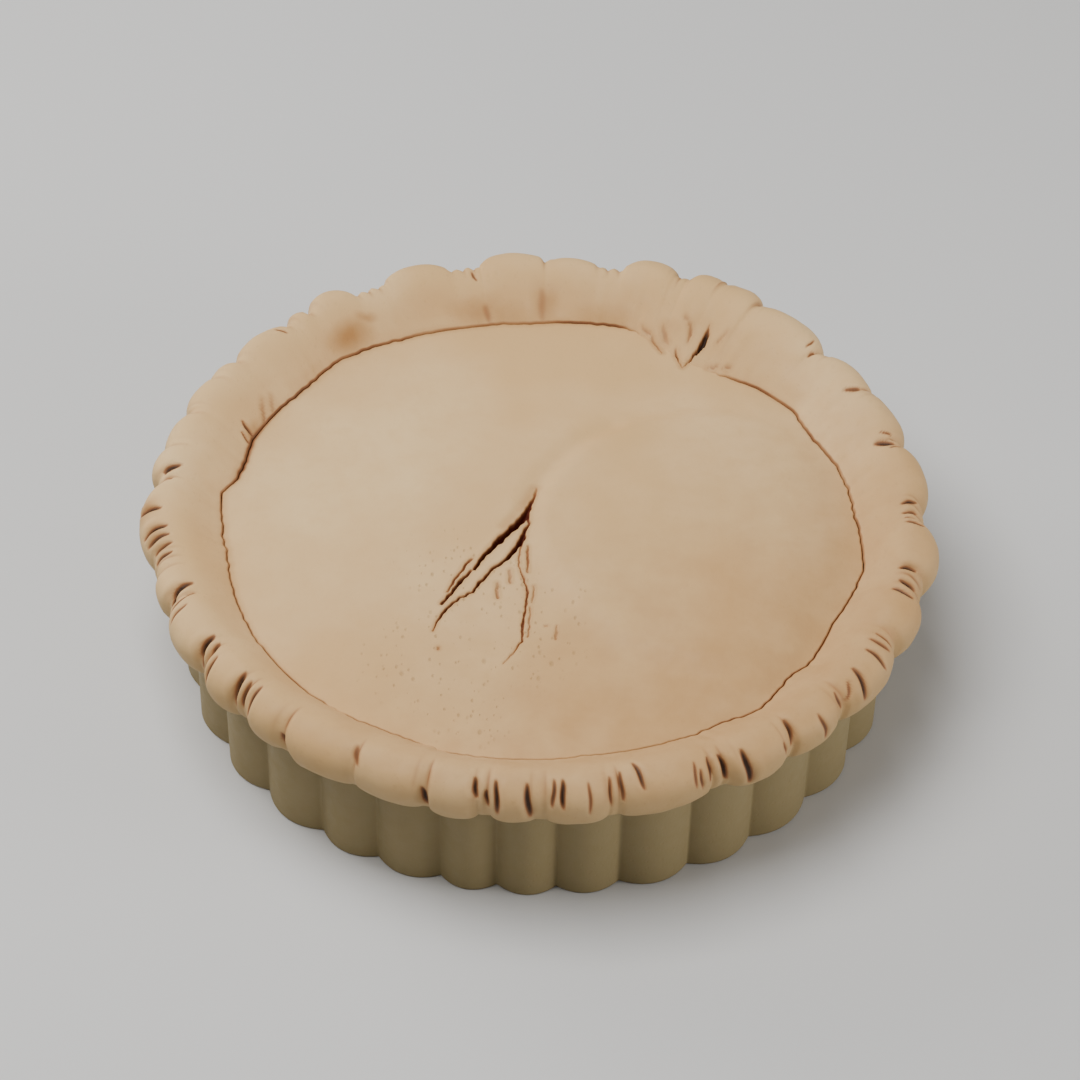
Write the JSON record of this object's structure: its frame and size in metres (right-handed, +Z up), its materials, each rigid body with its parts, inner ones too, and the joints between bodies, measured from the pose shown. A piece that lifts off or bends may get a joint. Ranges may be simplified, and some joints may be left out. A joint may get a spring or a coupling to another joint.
{
  "type": "meat pie",
  "caption": "Whole round meat pie with a deep fluted wall, a thumb-pinched rolled rim and a low domed lid with a torn steam vent.",
  "frame": {"origin": "middle of the flat base, on the surface that the pie rests on", "axes": "+Z up out of the lid, -Y towards the side where the vent's tears open out, +X to the right seen from there"},
  "size_m": [0.2416, 0.2407, 0.0583],
  "materials": {
    "case_pastry": "matt baked shortcrust pastry, pale beige, browned in its creases",
    "lid_pastry": "matt baked shortcrust pastry, pale beige, dark brown in its tears"
  },
  "bodies": {
    "root": {"pie_case": "case_pastry", "pie_lid": "lid_pastry"}
  },
  "joints": []
}
